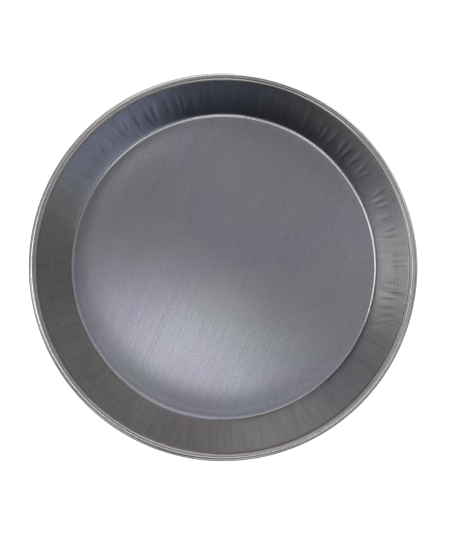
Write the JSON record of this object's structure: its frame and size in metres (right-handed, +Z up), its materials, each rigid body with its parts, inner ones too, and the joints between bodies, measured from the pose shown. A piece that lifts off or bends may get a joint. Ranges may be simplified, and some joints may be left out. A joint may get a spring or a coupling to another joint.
{
  "type": "round cake tin",
  "caption": "Round sloping-sided cake tin drawn from thin steel sheet, with a flat base, a puckered wall and a hollow rolled rim.",
  "frame": {"origin": "centre of the flat underside of the base", "axes": "+Z up through the open mouth; +X and +Y across the base, with no front, because the tin is round"},
  "size_m": [0.24, 0.24, 0.047],
  "materials": {
    "tinned_steel": "satin blue-grey rolled sheet, fine straight grain across the base, brighter on the rolled rim"
  },
  "bodies": {
    "root": {"tin": "tinned_steel"}
  },
  "joints": []
}
